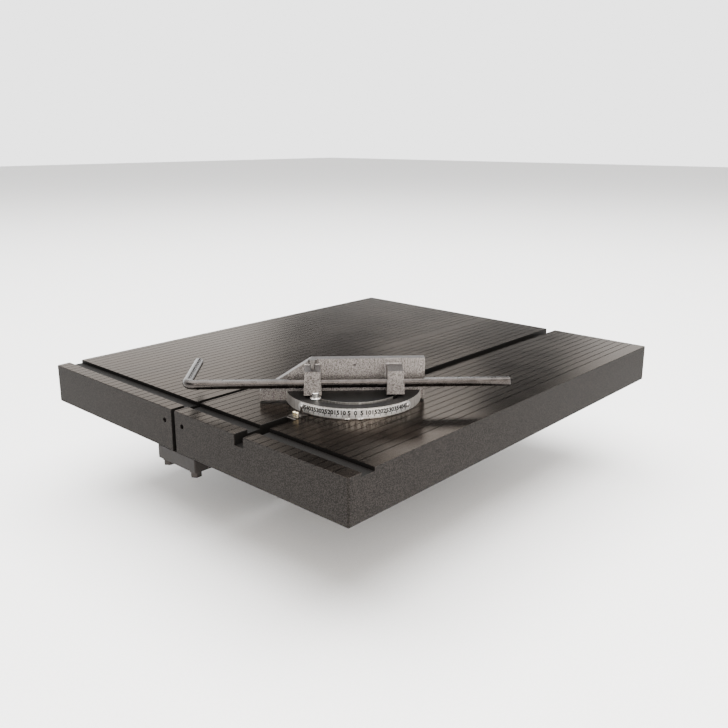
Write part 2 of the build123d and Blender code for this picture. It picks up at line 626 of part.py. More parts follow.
with BuildPart() as mitre_head:
    # half disc, cut off at the work face, with the pivot tongue behind it
    with BuildSketch(gauge_top.offset(LIFT)):
        Circle(RIM_RADIUS)
        with Locations((0, RIM_RADIUS - FENCE_BACK)):
            Rectangle(2 * RIM_RADIUS + 2, 2 * RIM_RADIUS, mode=Mode.SUBTRACT)
        with BuildLine(mode=Mode.PRIVATE) as lock_path:
            CenterArc((0, 0), LOCK_RADIUS, -90 - ARC_SLOT_HALF_ANGLE, 2 * ARC_SLOT_HALF_ANGLE)
        SlotArc(lock_path.edges()[0], ARC_SLOT_WIDTH, mode=Mode.SUBTRACT)
    extrude(amount=RIM_TOP - LIFT)
    with BuildSketch(gauge_top.offset(LIFT)):
        Circle(TONGUE_HALF_WIDTH)
        with Locations((0, -FENCE_FRONT / 2)):
            Rectangle(2 * TONGUE_HALF_WIDTH, FENCE_FRONT)
    extrude(amount=TONGUE_TOP - LIFT)

    # fence with its sloping shoulder and low toe
    with BuildSketch(gauge_face.offset(FENCE_BACK)):
        with BuildLine():
            Polyline(
                (FENCE_LEFT, FENCE_BOTTOM),
                (FENCE_RIGHT, FENCE_BOTTOM),
                (FENCE_RIGHT, FENCE_TOP),
                (FENCE_SLOPE[1], FENCE_TOP),
                (FENCE_SLOPE[0], FENCE_TOE_TOP),
                (FENCE_LEFT, FENCE_TOE_TOP),
                close=True,
            )
        outline = make_face()
        shoulder = outline.vertices().sort_by_distance((FENCE_SLOPE[1], FENCE_TOP))[0]
        toe = outline.vertices().sort_by_distance((FENCE_LEFT, FENCE_TOE_TOP))[0]
        fillet([shoulder, toe], CAST_RADIUS)
    extrude(amount=FENCE_FRONT - FENCE_BACK)
    with BuildSketch(gauge_face.offset(FENCE_FRONT)):
        with Locations((MARK_U, MARK_Z)):
            Circle(1.5)
    extrude(amount=-4.0, mode=Mode.SUBTRACT)

    # drafted posts that carry the stop rod
    for side in (-1, 1):
        for height, width in ((POST_BOTTOM, POST_BOTTOM_WIDTH), (POST_BACK_TOP, POST_TOP_WIDTH)):
            with BuildSketch(gauge_top.offset(height)):
                with Locations((side * POST_U, -(FENCE_FRONT - 4.0 + POST_FRONT) / 2)):
                    Rectangle(width, POST_FRONT - FENCE_FRONT + 4.0)
        loft()
    with BuildSketch(Plane(origin=gauge_top.origin, x_dir=OUTWARD, z_dir=(-ALONG[0], -ALONG[1], 0))):
        with BuildLine():
            Polyline(
                (FENCE_FRONT, POST_BACK_TOP),
                (POST_FRONT, POST_TOP),
                (POST_FRONT + 1, POST_TOP),
                (POST_FRONT + 1, POST_BACK_TOP + 1),
                (FENCE_FRONT, POST_BACK_TOP + 1),
                close=True,
            )
        make_face()
    extrude(amount=FENCE_RIGHT, both=True, mode=Mode.SUBTRACT)
    post_roots = mitre_head.edges().filter_by(stands_on_fence_front)
    fillet(post_roots, ROOT_RADIUS)
    with BuildSketch(Plane(origin=gauge_top.from_local_coords((FENCE_LEFT, -ROD_V, ROD_Z)), z_dir=ALONG)):
        Circle(ROD_RADIUS + FIT)
    extrude(amount=FENCE_RIGHT - FENCE_LEFT, mode=Mode.SUBTRACT)

    # hole for the clamp screw and blind bore for the pivot pin
    with BuildSketch(gauge_top.offset(POST_BACK_TOP)):
        with Locations((-POST_U, -ROD_V)):
            Circle(3.0 + FIT)
    extrude(amount=ROD_Z - POST_BACK_TOP, mode=Mode.SUBTRACT)
    with BuildSketch(gauge_top.offset(LIFT)):
        Circle(PIN_RADIUS + FIT)
    extrude(amount=PIN_REACH + 1.0 - LIFT, mode=Mode.SUBTRACT)
export(mitre_head, "mitre_head")

# ---------------------------------------------------------------- scale strip on the rim
STRIP_THICKNESS = 0.8
STRIP_BOTTOM = 2.0
STRIP_TOP = 12.2
STRIP_HALF_ANGLE = 52.0
RIVET_ANGLE = 48.6
RIVET_RADIUS = 1.2
STRIP_MIDDLE = (STRIP_BOTTOM + STRIP_TOP) / 2


def rim_plane(angle, radius):
    """Plane on the rim facing outwards, at an angle about the pivot from the middle of the rim."""
    turn = radians(-90 + angle)
    centre = gauge_top.from_local_coords((radius * cos(turn), radius * sin(turn), STRIP_MIDDLE))
    pivot = gauge_top.from_local_coords((0, 0, STRIP_MIDDLE))
    return Plane(origin=centre, z_dir=centre - pivot)


with BuildPart() as scale_strip:
    with BuildSketch(gauge_top.offset(STRIP_BOTTOM)):
        with BuildLine():
            inner = CenterArc((0, 0), RIM_RADIUS, -90 - STRIP_HALF_ANGLE, 2 * STRIP_HALF_ANGLE)
            outer = CenterArc(
                (0, 0), RIM_RADIUS + STRIP_THICKNESS, -90 - STRIP_HALF_ANGLE, 2 * STRIP_HALF_ANGLE
            )
            Line(inner @ 0, outer @ 0)
            Line(inner @ 1, outer @ 1)
        make_face()
    extrude(amount=STRIP_TOP - STRIP_BOTTOM)
    ends = scale_strip.edges().filter_by(GeomType.LINE).filter_by(Axis.Z, reverse=True)
    fillet(ends, (STRIP_TOP - STRIP_BOTTOM) * 0.45)
    for side in (-1, 1):
        with BuildSketch(rim_plane(side * RIVET_ANGLE, RIM_RADIUS - 1)):
            Circle(RIVET_RADIUS)
        extrude(amount=3.0, mode=Mode.SUBTRACT)
export(scale_strip, "scale_strip")

with BuildPart() as scale_rivets:
    for side in (-1, 1):
        seat = rim_plane(side * RIVET_ANGLE, RIM_RADIUS + STRIP_THICKNESS + 0.04)
        round_bar(seat, RIVET_RADIUS, -STRIP_THICKNESS)
        round_bar(seat, 2.1, 0.9)
export(scale_rivets, "scale_rivets")

# ---------------------------------------------------------------- guide bar in the slot
BAR_FRONT_X = PIVOT_X - 110.0
BAR_LENGTH = 250.0
PIN_DEPTH = 12.0
LOCK_X = PIVOT_X - LOCK_RADIUS
LOCK_DEPTH = 10.0
POINTER_SCREW_X = PIVOT_X - 105.5
POINTER_SCREW_Y = SLOT_Y - 3.6
POINTER_SCREW_GAP = 4.8

with BuildPart() as guide_bar:
    with BuildSketch(at_height(BAR_BOTTOM)):
        with Locations((BAR_FRONT_X + BAR_LENGTH / 2, SLOT_Y)):
            Rectangle(BAR_LENGTH, BAR_WIDTH)
    extrude(amount=BAR_TOP - BAR_BOTTOM)
    chamfer(guide_bar.edges().filter_by(Axis.X), 0.5)
    chamfer(guide_bar.edges().filter_by(Axis.Y).group_by(Axis.Z)[-1], 0.8)
    with BuildSketch(at_height(BAR_TOP)):
        with Locations((PIVOT_X, SLOT_Y)):
            Circle(PIN_RADIUS)
    extrude(amount=-PIN_DEPTH, mode=Mode.SUBTRACT)
    with BuildSketch(at_height(BAR_TOP)):
        with Locations((LOCK_X, SLOT_Y)):
            Circle(LOCK_SHANK + FIT)
    extrude(amount=-LOCK_DEPTH - 1, mode=Mode.SUBTRACT)
    with BuildSketch(at_height(BAR_TOP)):
        with Locations((POINTER_SCREW_X, POINTER_SCREW_Y)):
            with GridLocations(1, POINTER_SCREW_GAP, 1, 2):
                Circle(1.5)
    extrude(amount=-8.0, mode=Mode.SUBTRACT)
export(guide_bar, "guide_bar")

with BuildPart() as pivot_pin:
    with BuildSketch(at_height(BAR_TOP - PIN_DEPTH)):
        with Locations((PIVOT_X, SLOT_Y)):
            Circle(PIN_RADIUS)
    extrude(amount=PIN_DEPTH + GAP + PIN_REACH)
    chamfer(pivot_pin.edges().group_by(Axis.Z)[-1], 0.6)
export(pivot_pin, "pivot_pin")

# ---------------------------------------------------------------- pointer at the bar's front end
POINTER_PLATE = 1.2
POINTER_HALF_WIDTH = 7.9
POINTER_UPRIGHT_X = PIVOT_X - RIM_RADIUS - STRIP_THICKNESS - 3.6
POINTER_TOP = 8.6
POINTER_REACH = 2.4           # the tip leans in over the gap to the strip

with BuildPart() as pointer:
    with BuildSketch(along_y(SLOT_Y + POINTER_HALF_WIDTH)):
        with BuildLine():
            Polyline(
                (BAR_FRONT_X + 1.0, BAR_TOP),
                (POINTER_UPRIGHT_X, BAR_TOP),
                (POINTER_UPRIGHT_X, TOP_Z + POINTER_TOP - POINTER_PLATE),
                (POINTER_UPRIGHT_X + POINTER_REACH, TOP_Z + POINTER_TOP - POINTER_PLATE),
                (POINTER_UPRIGHT_X + POINTER_REACH, TOP_Z + POINTER_TOP),
                (POINTER_UPRIGHT_X - POINTER_PLATE, TOP_Z + POINTER_TOP),
                (POINTER_UPRIGHT_X - POINTER_PLATE, BAR_TOP + POINTER_PLATE),
                (BAR_FRONT_X + 1.0, BAR_TOP + POINTER_PLATE),
                close=True,
            )
        make_face()
    extrude(amount=2 * POINTER_HALF_WIDTH)
    # taper the upright to a point, seen along the bar
    for side in (-1, 1):
        with BuildSketch(across_x(POINTER_UPRIGHT_X - 2.0)):
            with BuildLine():
                Polyline(
                    (SLOT_Y + side * 0.8, TOP_Z + POINTER_TOP + 0.5),
                    (SLOT_Y + side * (POINTER_HALF_WIDTH + 1), TOP_Z + POINTER_TOP + 0.5),
                    (SLOT_Y + side * (POINTER_HALF_WIDTH + 1), BAR_TOP + POINTER_PLATE),
                    (SLOT_Y + side * 2.5, BAR_TOP + POINTER_PLATE + 1.5),
                    close=True,
                )
            make_face()
        extrude(amount=6.0, mode=Mode.SUBTRACT)
    with BuildSketch(at_height(BAR_TOP)):
        with Locations((POINTER_SCREW_X, POINTER_SCREW_Y)):
            with GridLocations(1, POINTER_SCREW_GAP, 1, 2):
                Circle(1.5)
    extrude(amount=POINTER_PLATE, mode=Mode.SUBTRACT)
export(pointer, "pointer")

POINTER_COLLAR = (1.9, 2.6)    # radius and height of the screw's collar
POINTER_NECK = (1.3, 3.6)
POINTER_HEAD = (2.1, 6.6)

with BuildPart() as pointer_screws:
    for side in (-1, 1):
        y = POINTER_SCREW_Y + side * POINTER_SCREW_GAP / 2
        seat = Plane(origin=(POINTER_SCREW_X, y, BAR_TOP + POINTER_PLATE))
        round_bar(seat, 1.5, -POINTER_PLATE - 8.0)
        round_bar(seat, POINTER_COLLAR[0], POINTER_COLLAR[1])
        round_bar(seat, POINTER_NECK[0], POINTER_NECK[1])
        round_bar(seat.offset(POINTER_NECK[1]), POINTER_HEAD[0], POINTER_HEAD[1] - POINTER_NECK[1])
    fillet(pointer_screws.edges().group_by(Axis.Z)[-1], 1.2)
export(pointer_screws, "pointer_screws")

# ---------------------------------------------------------------- lock bolt through the arc slot
LOCK_WASHER = 1.8
LOCK_WASHER_RADIUS = 7.0
LOCK_HEAD = (4.5, 6.5)         # radius and height of the cap screw's head
LOCK_SOCKET = (4.0, 3.0)       # across flats and depth
LOCK_SEAT_Z = TOP_Z + RIM_TOP + GAP

with BuildPart() as lock_washer:
    washer(Plane(origin=(LOCK_X, SLOT_Y, LOCK_SEAT_Z)), LOCK_WASHER_RADIUS, LOCK_SHANK + 0.2, LOCK_WASHER)
    chamfer(lock_washer.edges().filter_by(GeomType.CIRCLE).group_by(Axis.Z)[-1].sort_by(SortBy.RADIUS)[-1], 0.4)
export(lock_washer, "lock_washer")

with BuildPart() as lock_bolt:
    seat = Plane(origin=(LOCK_X, SLOT_Y, LOCK_SEAT_Z + LOCK_WASHER))
    round_bar(seat, LOCK_SHANK, BAR_TOP - LOCK_DEPTH - seat.origin.Z)
    round_bar(seat, LOCK_HEAD[0], LOCK_HEAD[1])
    chamfer(lock_bolt.edges().group_by(Axis.Z)[-1], 0.5)
    with BuildSketch(seat.offset(LOCK_HEAD[1])):
        RegularPolygon(radius=LOCK_SOCKET[0] / 2, side_count=6, major_radius=False)
    extrude(amount=-LOCK_SOCKET[1], mode=Mode.SUBTRACT)
export(lock_bolt, "lock_bolt")

# ---------------------------------------------------------------- stop rod and its clamp screw
ROD_LEFT = -210.4             # axis of the bent leg, in u
ROD_RIGHT = 198.1
ROD_BEND = 11.0
LEG_END = 72.5                # reach of the leg past the pivot, against v
FLAT_START = -165.0
FLAT_DEPTH = 0.8

with BuildPart() as stop_rod:
    with BuildLine() as rod_path:
        rod_points = [(ROD_RIGHT, -ROD_V, ROD_Z), (ROD_LEFT, -ROD_V, ROD_Z), (ROD_LEFT, LEG_END, ROD_Z)]
        FilletPolyline(*[gauge_top.from_local_coords(point) for point in rod_points], radius=ROD_BEND)
    with BuildSketch(Plane(origin=rod_path.line @ 0, z_dir=rod_path.line % 0)):
        Circle(ROD_RADIUS)
    sweep()
    chamfer(stop_rod.edges().filter_by(GeomType.CIRCLE).sort_by(Axis.X)[-1], 0.8)
    with BuildSketch(gauge_top.offset(ROD_Z + ROD_RADIUS - FLAT_DEPTH)):
        with Locations(((FLAT_START + ROD_RIGHT + 1) / 2, -ROD_V)):
            Rectangle(ROD_RIGHT + 1 - FLAT_START, 2 * ROD_RADIUS)
    extrude(amount=2 * FLAT_DEPTH, mode=Mode.SUBTRACT)
export(stop_rod, "stop_rod")

SCREW_HEAD_BOTTOM = 55.5
SCREW_HEAD_HEIGHT = 4.5

with BuildPart() as rod_clamp_screw:
    seat = gauge_top.offset(SCREW_HEAD_BOTTOM)
    seat.origin = gauge_top.from_local_coords((-POST_U, -ROD_V, SCREW_HEAD_BOTTOM))
    tip = ROD_Z + ROD_RADIUS - FLAT_DEPTH + GAP
    hex_bolt(seat, 3.0, SCREW_HEAD_BOTTOM - tip, 10.0, SCREW_HEAD_HEIGHT)
export(rod_clamp_screw, "rod_clamp_screw")
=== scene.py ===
"""Looks for a bandsaw work table: finishes, printed scales, light and camera.

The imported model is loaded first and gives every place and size, in metres. Each sub-assembly is
a class that dresses its own pieces and builds what is printed on them. +X is the feed direction,
+Y is to the operator's left and +Z is up.
"""
import logging
import math
from dataclasses import dataclass, field
from enum import Enum
from functools import partial
from typing import Any, Callable, Iterable

import bpy
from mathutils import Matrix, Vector


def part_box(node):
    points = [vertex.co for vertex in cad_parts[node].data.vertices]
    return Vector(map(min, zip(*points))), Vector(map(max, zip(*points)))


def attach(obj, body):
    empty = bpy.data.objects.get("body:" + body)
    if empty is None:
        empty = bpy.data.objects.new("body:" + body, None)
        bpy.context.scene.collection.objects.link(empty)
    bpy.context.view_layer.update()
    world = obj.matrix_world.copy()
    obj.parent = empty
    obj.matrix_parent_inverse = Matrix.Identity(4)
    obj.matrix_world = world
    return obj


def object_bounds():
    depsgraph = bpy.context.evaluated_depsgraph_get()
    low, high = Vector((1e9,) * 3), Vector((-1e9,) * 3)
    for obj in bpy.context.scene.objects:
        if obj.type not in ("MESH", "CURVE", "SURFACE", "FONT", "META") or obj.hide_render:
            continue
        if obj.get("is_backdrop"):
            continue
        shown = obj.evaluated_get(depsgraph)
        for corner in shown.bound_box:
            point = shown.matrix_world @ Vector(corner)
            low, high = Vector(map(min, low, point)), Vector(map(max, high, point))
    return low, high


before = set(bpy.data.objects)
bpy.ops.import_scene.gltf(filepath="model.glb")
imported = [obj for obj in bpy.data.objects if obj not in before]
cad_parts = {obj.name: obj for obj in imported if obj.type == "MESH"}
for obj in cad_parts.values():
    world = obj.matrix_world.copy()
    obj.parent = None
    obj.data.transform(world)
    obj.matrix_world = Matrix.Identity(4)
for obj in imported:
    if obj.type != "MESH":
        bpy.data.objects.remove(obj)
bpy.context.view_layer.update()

LOG = logging.getLogger("work_table")
MM = 0.001
DIGIT_SHARE = 0.69                     # height of a digit as a share of the letter size
EDGE_ANGLE = math.radians(30.0)        # smallest turn between two faces that counts as an edge
EDGE_FACETS = 2                        # facets across a broken edge

Socket = bpy.types.NodeSocket
Tree = bpy.types.NodeTree
Material = bpy.types.Material


class Grain(Enum):
    """Direction in which a surface was worked: turn about Z in degrees, and stretch along x, y, z."""

    EVEN = (0.0, (1.0, 1.0, 1.0))
    ALONG_X = (0.0, (0.01, 1.0, 1.0))
    ALONG_Y = (0.0, (1.0, 0.03, 1.0))
    ALONG_Z = (0.0, (1.0, 1.0, 0.03))
    ALONG_ROD = (45.0, (0.01, 1.0, 1.0))


# ------------------------------------------------------------------------------ shader helpers
def linear(code: str) -> tuple[float, float, float, float]:
    """Turn an sRGB hex code into linear RGBA.

    Args:
        code: Colour as "#rrggbb".

    Returns:
        Linear red, green, blue and an alpha of 1.
    """
    channels = [int(code[i:i + 2], 16) / 255 for i in (1, 3, 5)]
    red, green, blue = [c / 12.92 if c <= 0.04045 else ((c + 0.055) / 1.055) ** 2.4 for c in channels]
    return red, green, blue, 1.0


def add_node(tree: Tree, kind: str, inputs: dict[int | str, Any], out: int | str = 0,
             **settings: Any) -> Socket:
    """Add one shader node, set it up and link it.

    Args:
        tree: Node tree that gets the node.
        kind: Blender's name for the node type.
        inputs: Input name or index mapped to a constant, or to the socket that feeds it.
        out: Output wanted.
        settings: Attributes of the node itself.

    Returns:
        The wanted output socket.
    """
    made = tree.nodes.new(kind)
    for name, value in settings.items():
        setattr(made, name, value)
    for key, value in inputs.items():
        if isinstance(value, Socket):
            tree.links.new(value, made.inputs[key])
        else:
            made.inputs[key].default_value = value
    return made.outputs[out]


@dataclass(frozen=True)
class Canvas:
    """A new material with its shader and object coordinates, ready to be worked on."""

    material: Material
    tree: Tree
    shader: bpy.types.Node
    place: Socket

    @classmethod
    def start(cls, name: str, metallic: float, roughness: float) -> "Canvas":
        """Make the material.

        Args:
            name: Name of the real material and finish.
            metallic: The shader's metallic value.
            roughness: The shader's roughness, which a finish may link over.

        Returns:
            The canvas.
        """
        material = bpy.data.materials.new(name)
        material.use_nodes = True
        tree = material.node_tree
        shader = tree.nodes["Principled BSDF"]
        shader.inputs["Metallic"].default_value = metallic
        shader.inputs["Roughness"].default_value = roughness
        return cls(material, tree, shader, add_node(tree, "ShaderNodeTexCoord", {}, "Object"))

    def tool_lines(self, pitch: float, grain: Grain) -> Socket:
        """Draw irregular parallel tool marks.

        Args:
            pitch: Usual distance between marks in metres.
            grain: Direction of the marks.

        Returns:
            A value around 0.5, from about 0.2 to 0.8.
        """
        turn, stretch = grain.value
        about_z = (0.0, 0.0, math.radians(turn))
        turned = add_node(self.tree, "ShaderNodeMapping", {0: self.place, 2: about_z})
        drawn = add_node(self.tree, "ShaderNodeMapping", {0: turned, 3: stretch})
        inputs = {"Vector": drawn, "Scale": 1 / pitch, "Detail": 2.0}
        return add_node(self.tree, "ShaderNodeTexNoise", inputs)

    def tinted(self, pattern: Socket, dark: str, pale: str, low: float = 0.36,
               high: float = 0.64) -> Socket:
        """Colour a pattern.

        Args:
            pattern: Value to follow.
            dark: Hex colour at and below the low value.
            pale: Hex colour at and above the high value.
            low: Where the dark colour starts to give way.
            high: Where the pale colour is full.

        Returns:
            The colour.
        """
        limits = {0: pattern, 1: low, 2: high}
        share = add_node(self.tree, "ShaderNodeMapRange", limits, interpolation_type="SMOOTHSTEP")
        colours = {0: share, 6: linear(dark), 7: linear(pale)}
        return add_node(self.tree, "ShaderNodeMix", colours, 2, data_type="RGBA")

    def wire(self, **sockets: Socket) -> Material:
        """Link sockets to the shader; an underscore in a name stands for a space.

        Args:
            sockets: Shader input mapped to the socket that feeds it.

        Returns:
            The finished material.
        """
        for name, socket in sockets.items():
            self.tree.links.new(socket, self.shader.inputs[name.replace("_", " ")])
        return self.material


# ------------------------------------------------------------------------------ finishes
@dataclass(frozen=True)
class PlanedCastIron:
    """Grey cast iron, planed on top and left as cast on its sides, with a thin film of oil."""

    corner: Vector                     # far left corner of the top; the table's middle is at 0, 0
    thickness: float
    top: str = "#292624"
    top_worn: str = "#37322e"
    glance: str = "#dcd8d4"            # slightly warm tint that the oil gives to low reflections
    side: str = "#2b2826"
    side_dark: str = "#0f0e0d"
    milled: str = "#100f0e"            # painted shade inside slots and grooves
    worn_edge: str = "#8f8a86"         # painted highlight on the upright corners
    hidden: str = "#2b2a2a"            # the underside
    cutter_mark: float = 0.9 * MM      # feed of the planer's tool
    grit: float = 1.3 * MM             # grain of the cast skin
    stain: float = 70 * MM             # size of the oily patches
    edge: float = 0.8 * MM             # width of the painted highlight on an upright corner
    relief: float = 0.04 * MM          # depth of the cast skin
    film: float = 0.06                 # strength of the oil's clear reflection
    top_rough: tuple[float, float] = (0.22, 0.27)
    side_rough: tuple[float, float] = (0.5, 0.62)
    side_metal: float = 0.1            # scale hides most of the bare metal

    def build(self) -> Material:
        """Make the material: a dark sheen in a band along the planer's lines, dull, gritty sides, painted
        shade in slots and grooves, and a painted highlight on the upright corners.

        Returns:
            The material.
        """
        canvas = Canvas.start("planed cast iron, oiled", 1.0, 0.4)
        canvas.shader.inputs["Specular Tint"].default_value = linear(self.glance)
        canvas.shader.inputs["Specular IOR Level"].default_value = self.film
        add = partial(add_node, canvas.tree)
        top_z = self.corner.z
        across, along, height = [
            add("ShaderNodeSeparateXYZ", {0: canvas.place}, axis) for axis in (0, 1, 2)
        ]
        is_top = add("ShaderNodeMapRange", {0: height, 1: top_z - 0.3 * MM, 2: top_z - 0.05 * MM})
        skirt = top_z - self.thickness
        is_side = add("ShaderNodeMapRange", {0: height, 1: skirt + 0.1 * MM, 2: skirt + 0.4 * MM})

        # planer lines: long streaks along X that break the light into a soft band
        lines = canvas.tool_lines(self.cutter_mark, Grain.ALONG_X)
        # oily patches and the grain of the cast skin
        stains, skin = [
            add("ShaderNodeTexNoise", {"Vector": canvas.place, "Scale": 1 / size, "Detail": 3.0})
            for size in (self.stain, self.grit)
        ]
        worn = add("ShaderNodeMath", {0: lines, 1: stains}, operation="MULTIPLY")
        top_colour = canvas.tinted(worn, self.top, self.top_worn, 0.16, 0.4)
        side_colour = canvas.tinted(skin, self.side_dark, self.side, 0.38, 0.65)

        # 2 inside the outline, as in a slot, 1 on an outer side and 0 on an upright corner
        within_x, within_y = [
            add("ShaderNodeMath", {0: place, 1: 0.0, 2: reach - self.edge}, operation="COMPARE")
            for place, reach in ((across, self.corner.x), (along, self.corner.y))
        ]
        within = add("ShaderNodeMath", {0: within_x, 1: within_y}, operation="ADD")
        is_slot = add("ShaderNodeMath", {0: within, 1: 1.5}, operation="GREATER_THAN")
        is_corner = add("ShaderNodeMath", {0: within, 1: 0.5}, operation="LESS_THAN")
        # painted shade in the slots and grooves, and a painted highlight on the upright corners
        for where, shade in ((is_slot, self.milled), (is_corner, self.worn_edge)):
            shades = {0: where, 6: side_colour, 7: linear(shade)}
            side_colour = add("ShaderNodeMix", shades, 2, data_type="RGBA")
        shades = {0: is_side, 6: linear(self.hidden), 7: side_colour}
        side_colour = add("ShaderNodeMix", shades, 2, data_type="RGBA")
        colour = add("ShaderNodeMix", {0: is_top, 6: side_colour, 7: top_colour}, 2, data_type="RGBA")

        # the top shines more than the cast sides, and oily patches shine most
        least, most = self.top_rough
        top_rough = add("ShaderNodeMapRange", {0: worn, 1: 0.15, 2: 0.4, 3: least, 4: most})
        least, most = self.side_rough
        side_rough = add("ShaderNodeMapRange", {0: skin, 1: 0.3, 2: 0.7, 3: least, 4: most})
        rough = add("ShaderNodeMix", {0: is_top, 2: side_rough, 3: top_rough}, data_type="FLOAT")
        relief = add("ShaderNodeMix", {0: is_top, 2: skin, 3: 0.5}, data_type="FLOAT")
        normal = add("ShaderNodeBump", {"Height": relief, "Distance": self.relief, "Strength": 0.2})
        metal = add("ShaderNodeMapRange", {0: is_top, 3: self.side_metal, 4: 1.0})
        return canvas.wire(Base_Color=colour, Roughness=rough, Metallic=metal, Normal=normal)


@dataclass(frozen=True)
class GaugeCasting:
    """Small iron casting under thin hammered paint, with machined disc and rim; painted shade on upward
    faces and the disc, a painted highlight on the slot wall.
    """

    pivot: Vector
    disc_top: float
    rim_radius: float
    slot_radius: float
    slot_width: float
    paint: str = "#8b8581"
    paint_dark: str = "#4b4744"
    soil: str = "#1d1a19"              # painted shade on what faces up
    soil_cover: float = 0.85           # how much of the paint the painted shade on upward faces hides
    machined: str = "#0f0e0d"          # near-black top of the half disc: machined metal, partly darkened as painted shade
    bright: str = "#d2cec9"            # the turned rim, and a painted highlight on the slot's inner wall
    bright_shade: str = "#a5a19c"
    grain: float = 1.5 * MM            # pitch of the hammered dimples
    speck: float = 0.6 * MM            # size of the specks between them
    turning: float = 0.6 * MM          # pitch of the lathe's marks on the rim
    margin: float = 0.3 * MM           # how far a surface may be from its nominal radius
    relief: float = 0.3 * MM           # depth of the hammered dimples
    paint_metal: float = 0.75          # aluminium flake in the paint

    def build(self) -> Material:
        """Make the material: sparkling grey fence and posts with painted shade on upward faces, a
        near-black disc partly painted shade, a bright rim, and a painted highlight on the slot wall.

        Returns:
            The material.
        """
        canvas = Canvas.start("hammered paint on cast iron", 0.45, 0.45)
        add = partial(add_node, canvas.tree)
        offset = add("ShaderNodeVectorMath", {0: canvas.place, 1: self.pivot}, operation="SUBTRACT")
        flat = add("ShaderNodeVectorMath", {0: offset, 1: (1.0, 1.0, 0.0)}, operation="MULTIPLY")
        radius = add("ShaderNodeVectorMath", {0: flat}, 1, operation="LENGTH")
        height = add("ShaderNodeSeparateXYZ", {0: canvas.place}, 2)
        low = add("ShaderNodeMath", {0: height, 1: self.disc_top + 0.1 * MM}, operation="LESS_THAN")
        reach = self.rim_radius + self.margin
        in_disc = add("ShaderNodeMath", {0: radius, 1: reach}, operation="LESS_THAN")
        is_disc = add("ShaderNodeMath", {0: low, 1: in_disc}, operation="MULTIPLY")
        # rim is the turned rim's own bright metal; wall is a painted highlight ring on the slot's inner
        # wall
        rim, wall = [
            add("ShaderNodeMath", {0: radius, 1: worked_radius, 2: self.margin}, operation="COMPARE")
            for worked_radius in (self.rim_radius, self.slot_radius - self.slot_width / 2)
        ]
        # the turned rim, or the painted highlight on the slot wall
        worked = add("ShaderNodeMath", {0: rim, 1: wall}, operation="MAXIMUM")
        is_rim_or_lit_wall = add("ShaderNodeMath", {0: worked, 1: low}, operation="MULTIPLY")

        # hammered paint: pale crowns, darker hollows, and fine specks between them
        dimples, specks = [
            add("ShaderNodeTexNoise", {"Vector": canvas.place, "Scale": 1 / size, "Detail": 2.0})
            for size in (self.grain, self.speck)
        ]
        tone = add("ShaderNodeMath", {0: dimples, 1: specks}, operation="ADD")
        painted = canvas.tinted(tone, self.paint_dark, self.paint, 0.84, 1.14)
        # painted shade: faces that point up are darkened towards near black
        facing = add("ShaderNodeNewGeometry", {}, "Normal")
        upward = add("ShaderNodeSeparateXYZ", {0: facing}, 2)
        upward_shaded = add("ShaderNodeMapRange", {0: upward, 1: 0.5, 2: 0.95, 4: self.soil_cover})
        shades = {0: upward_shaded, 6: painted, 7: linear(self.soil)}
        painted = add("ShaderNodeMix", shades, 2, data_type="RGBA")
        turned = canvas.tool_lines(self.turning, Grain.ALONG_Z)
        bright = canvas.tinted(turned, self.bright_shade, self.bright)
        colour = painted
        # the disc top is partly machined colour and partly painted shade; the rim is bright turned metal,
        # the slot's inner wall a painted highlight
        for where, cover in ((is_disc, linear(self.machined)), (is_rim_or_lit_wall, bright)):
            colour = add("ShaderNodeMix", {0: where, 6: colour, 7: cover}, 2, data_type="RGBA")

        rough = add("ShaderNodeMapRange", {0: specks, 1: 0.3, 2: 0.7, 3: 0.36, 4: 0.5})
        relief = add("ShaderNodeMix", {0: is_disc, 2: tone, 3: 1.0}, data_type="FLOAT")
        normal = add("ShaderNodeBump", {"Height": relief, "Distance": self.relief, "Strength": 0.6})
        metal = add("ShaderNodeMapRange", {0: is_rim_or_lit_wall, 3: self.paint_metal, 4: 1.0})
        return canvas.wire(Base_Color=colour, Roughness=rough, Metallic=metal, Normal=normal)


@dataclass(frozen=True)
class MachineEnamel:
    """Sprayed machine enamel over a rough casting: soft orange peel and a low sheen."""

    name: str
    colour: str
    shade: str
    roughness: float = 0.48
    gloss: float = 0.5                 # strength of the clear reflection
    peel: float = 3.0 * MM             # distance between the peel's crests
    casting: float = 14 * MM           # unevenness of the casting underneath
    dust: float = 45 * MM              # size of the duller patches
    casting_depth: float = 0.5 * MM
    peel_depth: float = 0.12 * MM

    def build(self) -> Material:
        """Make the material: broad cast unevenness under fine peel.

        Returns:
            The material.
        """
        canvas = Canvas.start(self.name, 0.0, self.roughness)
        canvas.shader.inputs["Specular IOR Level"].default_value = self.gloss
        add = partial(add_node, canvas.tree)
        casting, peel, dust = [
            add("ShaderNodeTexNoise", {"Vector": canvas.place, "Scale": 1 / size, "Detail": detail})
            for size, detail in ((self.casting, 4.0), (self.peel, 2.0), (self.dust, 5.0))
        ]
        limits = {1: 0.3, 2: 0.75, 3: self.roughness - 0.06, 4: self.roughness + 0.12}
        rough = add("ShaderNodeMapRange", {0: dust, **limits})
        under = add("ShaderNodeBump", {"Height": casting, "Distance": self.casting_depth, "Strength": 0.5})
        over = {"Height": peel, "Distance": self.peel_depth, "Strength": 0.5, "Normal": under}
        normal = add("ShaderNodeBump", over)
        colour = canvas.tinted(dust, self.shade, self.colour, 0.35, 0.7)
        return canvas.wire(Base_Color=colour, Roughness=rough, Normal=normal)


